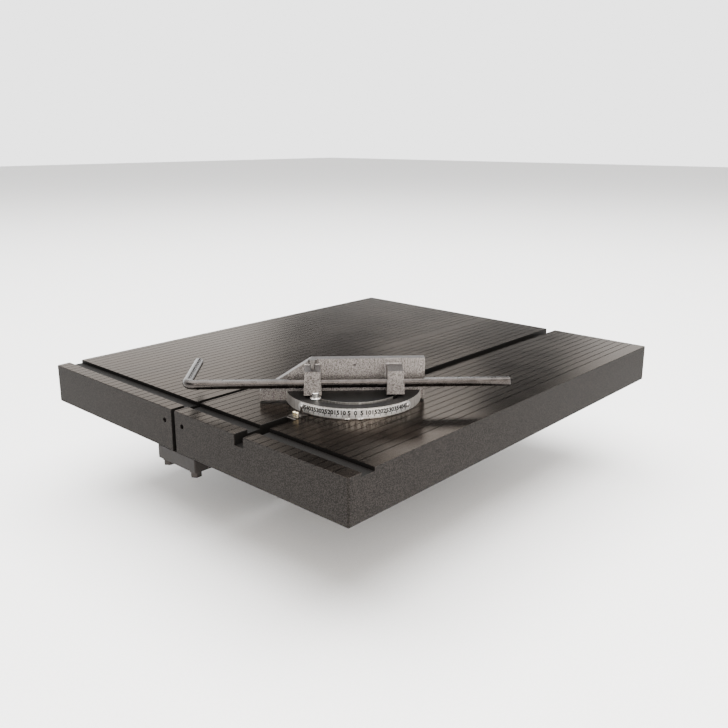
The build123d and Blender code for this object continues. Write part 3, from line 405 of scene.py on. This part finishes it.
@dataclass(frozen=True)
class WorkedMetal:
    """Bare or plated metal with fine tool marks along one direction and light handling marks."""

    name: str
    colour: str
    shade: str
    roughness: float
    grain: Grain = Grain.EVEN
    mark: float = 0.4 * MM             # distance between tool marks
    smudge: float = 9 * MM             # size of handling marks
    mark_depth: float = 0.03 * MM

    def build(self) -> Material:
        """Make the material: tool marks break the highlight into lines and smudges dull it here and there.

        Returns:
            The material.
        """
        canvas = Canvas.start(self.name, 1.0, self.roughness)
        add = partial(add_node, canvas.tree)
        marks = canvas.tool_lines(self.mark, self.grain)
        inputs = {"Vector": canvas.place, "Scale": 1 / self.smudge, "Detail": 4.0}
        smudges = add("ShaderNodeTexNoise", inputs)
        tone = add("ShaderNodeMath", {0: marks, 1: smudges}, operation="ADD")
        limits = {1: 0.3, 2: 0.7, 3: self.roughness * 0.85, 4: self.roughness * 1.25}
        rough = add("ShaderNodeMapRange", {0: smudges, **limits})
        normal = add("ShaderNodeBump", {"Height": marks, "Distance": self.mark_depth, "Strength": 0.25})
        colour = canvas.tinted(tone, self.shade, self.colour, 0.72, 1.28)
        return canvas.wire(Base_Color=colour, Roughness=rough, Normal=normal)


@dataclass(frozen=True)
class Phenolic:
    """Moulded phenolic resin: near black, hard gloss, with faint flow and fine scratches."""

    colour: str = "#161514"
    shade: str = "#0b0b0b"
    resin_ior: float = 1.6
    flow: float = 12 * MM              # size of the flow marks left by the mould
    flow_depth: float = 0.1 * MM
    rub: float = 1.2 * MM              # size of the dull rubs

    def build(self) -> Material:
        """Make the material: a small sharp highlight on black, dulled by a few rubs.

        Returns:
            The material.
        """
        canvas = Canvas.start("black phenolic, moulded", 0.0, 0.2)
        add = partial(add_node, canvas.tree)
        canvas.shader.inputs["IOR"].default_value = self.resin_ior
        flow, rub = [
            add("ShaderNodeTexNoise", {"Vector": canvas.place, "Scale": 1 / size, "Detail": detail})
            for size, detail in ((self.flow, 4.0), (self.rub, 3.0))
        ]
        rough = add("ShaderNodeMapRange", {0: rub, 1: 0.45, 2: 0.75, 3: 0.16, 4: 0.34})
        normal = add("ShaderNodeBump", {"Height": flow, "Distance": self.flow_depth, "Strength": 0.25})
        colour = canvas.tinted(flow, self.shade, self.colour)
        return canvas.wire(Base_Color=colour, Roughness=rough, Normal=normal)


@dataclass(frozen=True)
class ScreenInk:
    """Black screen ink on metal: matt, slightly thin where the squeegee ran dry."""

    colour: str = "#131212"
    thin: str = "#2f2c29"
    speck: float = 0.5 * MM            # size of the thin spots

    def build(self) -> Material:
        """Make the material: even black with faint thin spots.

        Returns:
            The material.
        """
        canvas = Canvas.start("black screen ink", 0.0, 0.55)
        inputs = {"Vector": canvas.place, "Scale": 1 / self.speck, "Detail": 2.0}
        spots = add_node(canvas.tree, "ShaderNodeTexNoise", inputs)
        return canvas.wire(Base_Color=canvas.tinted(spots, self.colour, self.thin, 0.5, 0.9))


@dataclass(frozen=True)
class StudioPaper:
    """Pale seamless paper: matt, with a very faint tooth."""

    colour: str = "#f7f6f5"
    shade: str = "#f4f3f1"
    tooth: float = 3.0 * MM
    tooth_depth: float = 0.05 * MM

    def build(self) -> Material:
        """Make the material: plain paper whose tooth only softens the light.

        Returns:
            The material.
        """
        canvas = Canvas.start("pale studio paper", 0.0, 0.9)
        add = partial(add_node, canvas.tree)
        tooth = add("ShaderNodeTexNoise", {"Vector": canvas.place, "Scale": 1 / self.tooth, "Detail": 3.0})
        normal = add("ShaderNodeBump", {"Height": tooth, "Distance": self.tooth_depth, "Strength": 0.2})
        return canvas.wire(Base_Color=canvas.tinted(tooth, self.shade, self.colour), Normal=normal)


# ------------------------------------------------------------------------------ dressing
def dress(node: str, material: Material) -> None:
    """Give a CAD node its finish.

    Args:
        node: CAD node.
        material: Its finish.
    """
    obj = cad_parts[node]
    obj.data.materials.clear()
    obj.data.materials.append(material)
    LOG.info("%s: %s", node, material.name)


def soften(node: str, width: float) -> None:
    """Break a node's sharp edges, so that they catch the light.

    Args:
        node: CAD node.
        width: Width of the rounding in metres.
    """
    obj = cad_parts[node]
    weld = obj.modifiers.new("join_faces", "WELD")
    weld.merge_threshold = 1e-6
    bevel = obj.modifiers.new("broken_edges", "BEVEL")
    bevel.width = width
    bevel.segments = EDGE_FACETS
    bevel.limit_method = "ANGLE"
    bevel.angle_limit = EDGE_ANGLE
    bevel.use_clamp_overlap = True
    # the large faces set the shading, so they stay flat beside their broken edges
    shading = obj.modifiers.new("flat_faces", "WEIGHTED_NORMAL")
    shading.mode = "FACE_AREA"
    shading.weight = 100
    shading.keep_sharp = True


@dataclass
class PrintedSheet:
    """Flat print, drawn in strip coordinates and then laid on a curved or flat surface."""

    weight: float = 0.03               # how much digits are fattened, as a share of their height
    points: list[Vector] = field(default_factory=list)
    faces: list[list[int]] = field(default_factory=list)

    def bar(self, across: float, low: float, high: float, width: float) -> None:
        """Print an upright bar.

        Args:
            across: Place of its middle along the strip.
            low: Height of its foot.
            high: Height of its top.
            width: Width.
        """
        start = len(self.points)
        left, right = across - width / 2, across + width / 2
        corners = ((left, low), (right, low), (right, high), (left, high))
        self.points += [Vector((x, y, 0)) for x, y in corners]
        self.faces.append([start, start + 1, start + 2, start + 3])

    def number(self, text: str, across: float, middle: float, height: float) -> None:
        """Print a number.

        Args:
            text: Digits.
            across: Place of its middle along the strip.
            middle: Height of its middle.
            height: Height of the digits.
        """
        curve = bpy.data.curves.new("digits", "FONT")
        curve.body = text
        curve.align_x = "CENTER"
        curve.size = height / DIGIT_SHARE
        curve.offset = height * self.weight
        curve.resolution_u = 3
        holder = bpy.data.objects.new("digits", curve)
        mesh = bpy.data.meshes.new_from_object(holder)
        start = len(self.points)
        foot = middle - height / 2
        self.points += [Vector((v.co.x + across, v.co.y + foot, 0)) for v in mesh.vertices]
        self.faces += [[start + index for index in polygon.vertices] for polygon in mesh.polygons]
        bpy.data.objects.remove(holder)
        bpy.data.curves.remove(curve)
        bpy.data.meshes.remove(mesh)

    def lay(self, name: str, body: str, place: Callable[[Vector], Vector],
            ink: Material) -> bpy.types.Object:
        """Make the print a mesh on its surface.

        Args:
            name: Name of the new object.
            body: Body that it moves with.
            place: Turns a point of the flat print into its place in the frame.
            ink: The ink's material.

        Returns:
            The new object.
        """
        mesh = bpy.data.meshes.new(name)
        mesh.from_pydata([place(point) for point in self.points], [], self.faces)
        mesh.validate()
        mesh.materials.append(ink)
        printed = bpy.data.objects.new(name, mesh)
        bpy.context.scene.collection.objects.link(printed)
        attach(printed, body)
        LOG.info("printed %s", name)
        return printed


@dataclass(frozen=True)
class DegreeMarks:
    """Sizes of a degree scale: a number over a long tick every 5 degrees, and short ticks between."""

    half_range: int                    # degrees to either side of zero
    tick_foot: float
    long_tick: float
    short_tick: float
    long_width: float
    short_width: float
    number_middle: float               # above the sheet's lower edge
    number_height: float

    def draw(self, sheet: PrintedSheet, radius: float) -> None:
        """Draw the scale, with its zero at the middle of the sheet.

        Args:
            sheet: Sheet that gets the marks.
            radius: Radius at which the sheet is bent.
        """
        for degree in range(-self.half_range, self.half_range + 1):
            across = math.radians(degree) * radius
            if degree % 5 == 0:
                sheet.bar(across, self.tick_foot, self.tick_foot + self.long_tick, self.long_width)
                sheet.number(str(abs(degree)), across, self.number_middle, self.number_height)
            else:
                sheet.bar(across, self.tick_foot, self.tick_foot + self.short_tick, self.short_width)


# ------------------------------------------------------------------------------ sub-assemblies
@dataclass
class WorkTable:
    """The planed casting with its throat insert and the tie plate under its front edge."""

    tie_edge: float = 0.6 * MM

    def dress(self) -> None:
        """Give each piece its finish and break the tie plate's edges."""
        low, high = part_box("table_casting")
        dress("table_casting", PlanedCastIron(high, high.z - low.z).build())
        # a pale disc with small bright screws in the dark top
        dress("throat_insert", WorkedMetal("aluminium, turned", "#8e8b87", "#736f6b", 0.38).build())
        small = WorkedMetal("steel, zinc plated, small", "#b8b6b1", "#8f8c86", 0.32).build()
        dress("insert_screws", small)
        # almost no reflection, so that the plate stays darker than the casting above it
        dress("tie_plate", MachineEnamel("dark enamel", "#211d1a", "#171412", gloss=0.1).build())
        # a dull metal glint on dark heads
        oxide = WorkedMetal("steel, black oxide", "#33302e", "#211f1e", 0.42).build()
        dress("tie_plate_washers", oxide)
        dress("tie_plate_bolts", oxide)
        soften("tie_plate", self.tie_edge)


@dataclass
class TiltUnit:
    """Trunnion, cradle and clamp under the table, with the printed tilt scale."""

    proud: float = 0.04 * MM           # height of the ink over the plate
    cast_edge: float = 1.2 * MM
    marks: DegreeMarks = DegreeMarks(
        half_range=15, tick_foot=1.0 * MM, long_tick=5.0 * MM, short_tick=3.0 * MM,
        long_width=0.35 * MM, short_width=0.35 * MM, number_middle=9.4 * MM, number_height=3.4 * MM)

    def dress(self) -> None:
        """Give each piece its finish and break the castings' edges."""
        # cool grey with soft highlights, against the warm dark iron
        enamel = MachineEnamel("grey machine enamel", "#63666a", "#4c4f52").build()
        for node in ("tilt_trunnion", "tilt_cradle"):
            dress(node, enamel)
            soften(node, self.cast_edge)
        # dark heads that still show as metal in the table's shade
        oxide = WorkedMetal("steel, black oxide, large", "#514d49", "#302e2c", 0.4).build()
        for node in ("trunnion_bolts", "trunnion_washers"):
            dress(node, oxide)
        # small bright points on the grey castings
        zinc = WorkedMetal("steel, zinc plated", "#c3c1bc", "#98958f", 0.3).build()
        for node in ("tilt_pointer_screw", "tilt_scale_rivets", "clamp_washer", "clamp_stud"):
            dress(node, zinc)
        # a pale ground for the print, under a slightly darker pointer
        dress("tilt_scale", WorkedMetal("aluminium, anodised", "#dedcd8", "#c3c0bb", 0.38).build())
        sheet = WorkedMetal("steel sheet, bright", "#b5b2ad", "#8b8883", 0.34, Grain.ALONG_Z)
        dress("tilt_pointer", sheet.build())
        # a long soft highlight down the lever, and a black knob at its end
        satin = WorkedMetal("steel, turned, satin", "#a19d98", "#7b7772", 0.34, Grain.ALONG_Y)
        dress("clamp_lever", satin.build())
        dress("clamp_knob", Phenolic().build())

    def print_scale(self, ink: Material) -> bpy.types.Object:
        """Print degrees of tilt on the scale plate, about the tilt axis.

        Args:
            ink: The ink's material.

        Returns:
            The print, riding on the table.
        """
        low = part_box("tilt_scale")[0]
        axis_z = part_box("table_casting")[1].z
        outer = axis_z - low.z
        face_x = low.x - self.proud
        sheet = PrintedSheet()
        self.marks.draw(sheet, outer)

        def place(point: Vector) -> Vector:
            """Bend the print about the tilt axis.

            Args:
                point: Place on the flat print.

            Returns:
                Place in the frame.
            """
            angle = point.x / outer
            radius = outer - point.y
            return Vector((face_x, -radius * math.sin(angle), axis_z - radius * math.cos(angle)))

        return sheet.lay("tilt_scale_print", "table", place, ink)


@dataclass
class MitreGauge:
    """Protractor head with its printed strip, the bar in the slot and the stop rod."""

    pivot: Vector
    slot_width: float = 8.0 * MM
    proud: float = 0.05 * MM           # height of the ink over the strip
    middle: float = math.radians(-135.0)  # heading of the scale's zero from the pivot
    digit_weight: float = 0.075        # the strip's digits are bold
    head_edge: float = 0.8 * MM
    screw_edge: float = 0.3 * MM
    bolt_edge: float = 0.25 * MM
    marks: DegreeMarks = DegreeMarks(
        half_range=45, tick_foot=0.7 * MM, long_tick=3.0 * MM, short_tick=1.6 * MM,
        long_width=1.0 * MM, short_width=0.35 * MM, number_middle=6.4 * MM, number_height=5.2 * MM)

    def strip_radii(self) -> tuple[float, float]:
        """Measure the bent strip.

        Returns:
            Its inner and outer radius about the pivot.
        """
        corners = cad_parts["scale_strip"].data.vertices
        radii = [(corner.co - self.pivot).xy.length for corner in corners]
        return min(radii), max(radii)

    def dress(self) -> None:
        """Give each piece its finish and break the casting's edges."""
        lock_low, lock_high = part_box("lock_bolt")
        slot_radius = ((lock_low + lock_high) / 2 - self.pivot).xy.length
        casting = GaugeCasting(
            pivot=self.pivot, disc_top=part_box("lock_washer")[0].z, rim_radius=self.strip_radii()[0],
            slot_radius=slot_radius, slot_width=self.slot_width)
        dress("mitre_head", casting.build())
        # the brightest band on the gauge, with round highlights at its two ends
        dress("scale_strip", WorkedMetal("aluminium, satin strip", "#f0eeeb", "#dcd9d5", 0.42).build())
        dress("scale_rivets", WorkedMetal("aluminium rivets", "#f2f0ed", "#d9d6d1", 0.26).build())
        # a grey bar, paler than the slot that it lies in, and a bright pin
        bar = WorkedMetal("steel, ground bar", "#4c4845", "#3a3734", 0.36, Grain.ALONG_X)
        dress("guide_bar", bar.build())
        dress("pivot_pin", WorkedMetal("steel, ground pin", "#8b8782", "#6a6662", 0.3).build())
        # a dark plate that sets off two warm, pale screws
        dress("pointer", WorkedMetal("steel sheet, blued", "#57524d", "#3b3734", 0.36).build())
        brass = WorkedMetal("brass, turned, pale", "#ece3cd", "#d2c4a0", 0.3)
        dress("pointer_screws", brass.build())
        # the sharpest sparkle on the gauge
        bright = WorkedMetal("steel, bright zinc", "#dcdad6", "#b4b1ac", 0.24).build()
        dress("lock_bolt", bright)
        dress("lock_washer", bright)
        # a middle grey between the painted post and the dark rod
        plain = WorkedMetal("steel, plain, satin", "#6c6865", "#514e4b", 0.32)
        dress("rod_clamp_screw", plain.build())
        # one thin bright line along a dark rod
        rod = WorkedMetal("steel, drawn rod", "#403c3a", "#302d2b", 0.26, Grain.ALONG_ROD)
        dress("stop_rod", rod.build())
        soften("mitre_head", self.head_edge)
        soften("rod_clamp_screw", self.screw_edge)
        soften("lock_bolt", self.bolt_edge)

    def print_scale(self, ink: Material) -> bpy.types.Object:
        """Print the degrees round the strip.

        Args:
            ink: The ink's material.

        Returns:
            The print, riding on the head.
        """
        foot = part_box("scale_strip")[0].z
        radius = self.strip_radii()[1] + self.proud
        sheet = PrintedSheet(weight=self.digit_weight)
        self.marks.draw(sheet, radius)

        def place(point: Vector) -> Vector:
            """Wrap the print round the rim, right way up from outside.

            Args:
                point: Place on the flat print.

            Returns:
                Place in the frame.
            """
            angle = self.middle + point.x / radius
            side = Vector((math.cos(angle), math.sin(angle), 0.0)) * radius
            return Vector((self.pivot.x + side.x, self.pivot.y + side.y, foot + point.y))

        return sheet.lay("protractor_print", "head", place, ink)


@dataclass(frozen=True)
class SoftBox:
    """Rectangular lamp behind a diffusing cloth."""

    name: str
    place: tuple[float, float, float]
    aim: tuple[float, float, float]
    size: tuple[float, float]
    watts: float
    tint: str = "#ffffff"

    def hang(self) -> bpy.types.Object:
        """Hang the lamp, facing its aim.

        Returns:
            The lamp.
        """
        data = bpy.data.lights.new(self.name, "AREA")
        data.shape = "RECTANGLE"
        data.size, data.size_y = self.size
        data.energy = self.watts
        data.color = linear(self.tint)[:3]
        lamp = bpy.data.objects.new(self.name, data)
        lamp.location = self.place
        lamp.rotation_euler = (Vector(self.aim) - Vector(self.place)).to_track_quat("-Z", "Y").to_euler()
        bpy.context.scene.collection.objects.link(lamp)
        LOG.info("hung %s", self.name)
        return lamp


@dataclass
class Studio:
    """Pale floor, soft lights and the camera."""

    camera_place: tuple[float, float, float] = (-0.8773, -0.8051, 0.5195)
    yaw: float = 42.542                # degrees from +X towards +Y
    pitch: float = 14.371              # degrees below level
    focal: float = 39.22               # mm
    sensor: float = 36.0               # mm
    rise: float = -0.033               # upright shift of the lens, as a share of the view's width
    clip: tuple[float, float] = (0.01, 100.0)
    floor_half: float = 14.0
    floor_gap: float = 0.2 * MM        # under the part's mounting face
    room: str = "#ffffff"
    room_light: float = 3.0
    dim: str = "#34312f"               # the room behind the viewer, above eye level
    flag: str = "#1b1817"              # dark cloth hung behind the table, high up
    flag_turn: float = 38.0            # its heading in degrees, from +X towards +Y
    flag_reach: tuple[float, float] = (0.15, 0.24)  # sine of the angle aside: full, then gone
    dark_from: tuple[float, float] = (0.156, 0.18)  # sine of the angle above level: none, then full
    boxes: tuple[SoftBox, ...] = (
        # even light on everything that faces up
        SoftBox("overhead_box", (0.0, 0.0, 4.0), (0.0, 0.0, 0.0), (6.0, 6.0), 900.0),
        # lifts the front faces, over the viewer's shoulder
        SoftBox("shoulder_box", (-1.7, -1.6, 1.5), (-0.15, -0.1, 0.2), (1.2, 0.9), 40.0, "#fff9f2"),
        # a small far lamp that draws the sheen in front of the gauge
        SoftBox("window_box", (2.3, 1.65, 1.4), (-0.1, -0.15, 0.19), (0.5, 0.3), 4.0),
        # lifts the right-hand side
        SoftBox("right_box", (-0.5, -1.7, 0.6), (-0.3, -0.3, 0.16), (0.8, 0.5), 16.0, "#fff8f0"),
    )

    def build_floor(self, paper: Material) -> bpy.types.Object:
        """Lay the paper, just under the part's mounting face.

        Args:
            paper: The paper's material.

        Returns:
            The floor.
        """
        mesh = bpy.data.meshes.new("studio_floor")
        half = self.floor_half
        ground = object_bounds()[0].z - self.floor_gap
        outline = ((-half, -half), (half, -half), (half, half), (-half, half))
        mesh.from_pydata([(x, y, ground) for x, y in outline], [], [(0, 1, 2, 3)])
        mesh.materials.append(paper)
        floor = bpy.data.objects.new("studio_floor", mesh)
        bpy.context.scene.collection.objects.link(floor)
        floor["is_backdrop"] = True
        LOG.info("laid the floor")
        return floor

    def build_room(self) -> bpy.types.World:
        """Surround the part with even white light, darker high up behind it and behind the viewer.

        Returns:
            The world.
        """
        world = bpy.data.worlds.new("white room")
        world.use_nodes = True
        add = partial(add_node, world.node_tree)
        turn = math.radians(self.flag_turn)
        ahead = (math.cos(turn), math.sin(turn), 0.0)
        aside = (math.sin(turn), -math.cos(turn), 0.0)
        gaze = add("ShaderNodeTexCoord", {}, "Generated")
        onward = add("ShaderNodeVectorMath", {0: gaze, 1: ahead}, 1, operation="DOT_PRODUCT")
        sideways = add("ShaderNodeVectorMath", {0: gaze, 1: aside}, 1, operation="DOT_PRODUCT")
        off = add("ShaderNodeMath", {0: sideways}, operation="ABSOLUTE")
        level = add("ShaderNodeSeparateXYZ", {0: gaze}, 2)
        # each is 1 where its name holds and fades to 0: within the cloth's width, above eye level,
        # on the cloth's side of the part, and behind the viewer
        narrow, above, front, behind = [
            add("ShaderNodeMapRange", dict(enumerate(fade)), interpolation_type="SMOOTHSTEP")
            for fade in (
                (off, *self.flag_reach, 1.0, 0.0),
                (level, *self.dark_from, 0.0, 1.0),
                (onward, 0.0, 0.3, 0.0, 1.0),
                (onward, -0.35, 0.25, 1.0, 0.0),
            )
        ]
        shaped = add("ShaderNodeMath", {0: narrow, 1: above}, operation="MULTIPLY")
        flagged = add("ShaderNodeMath", {0: shaped, 1: front}, operation="MULTIPLY")
        dimmed = add("ShaderNodeMath", {0: behind, 1: above}, operation="MULTIPLY")
        colour = linear(self.room)
        for where, shade in ((dimmed, self.dim), (flagged, self.flag)):
            colour = add("ShaderNodeMix", {0: where, 6: colour, 7: linear(shade)}, 2, data_type="RGBA")
        background = world.node_tree.nodes["Background"]
        background.inputs["Strength"].default_value = self.room_light
        world.node_tree.links.new(colour, background.inputs["Color"])
        bpy.context.scene.world = world
        return world

    def build_lights(self) -> None:
        """Hang the soft boxes: overhead, over the viewer's shoulder, far behind and on the right."""
        for box in self.boxes:
            box.hang()

    def build_camera(self) -> bpy.types.Object:
        """Set up the camera at a standing viewer's place, front and to the right.

        Returns:
            The camera.
        """
        data = bpy.data.cameras.new("camera")
        data.sensor_width = self.sensor
        data.lens = self.focal
        data.shift_y = self.rise
        data.clip_start, data.clip_end = self.clip
        camera = bpy.data.objects.new("camera", data)
        camera.location = self.camera_place
        camera.rotation_euler = (math.radians(90 - self.pitch), 0.0, math.radians(self.yaw - 90))
        bpy.context.scene.collection.objects.link(camera)
        bpy.context.scene.camera = camera
        return camera


def main() -> None:
    """Build the scene: camera, studio, table, tilt unit and mitre gauge."""
    logging.basicConfig(level=logging.INFO, format="%(name)s %(message)s")
    studio = Studio()
    studio.build_camera()
    studio.build_floor(StudioPaper().build())
    studio.build_room()
    studio.build_lights()

    ink = ScreenInk().build()
    WorkTable().dress()
    tilt = TiltUnit()
    tilt.dress()
    tilt.print_scale(ink)
    pin_low, pin_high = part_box("pivot_pin")
    gauge = MitreGauge(pivot=(pin_low + pin_high) / 2)
    gauge.dress()
    gauge.print_scale(ink)


if __name__ == "__main__":
    main()
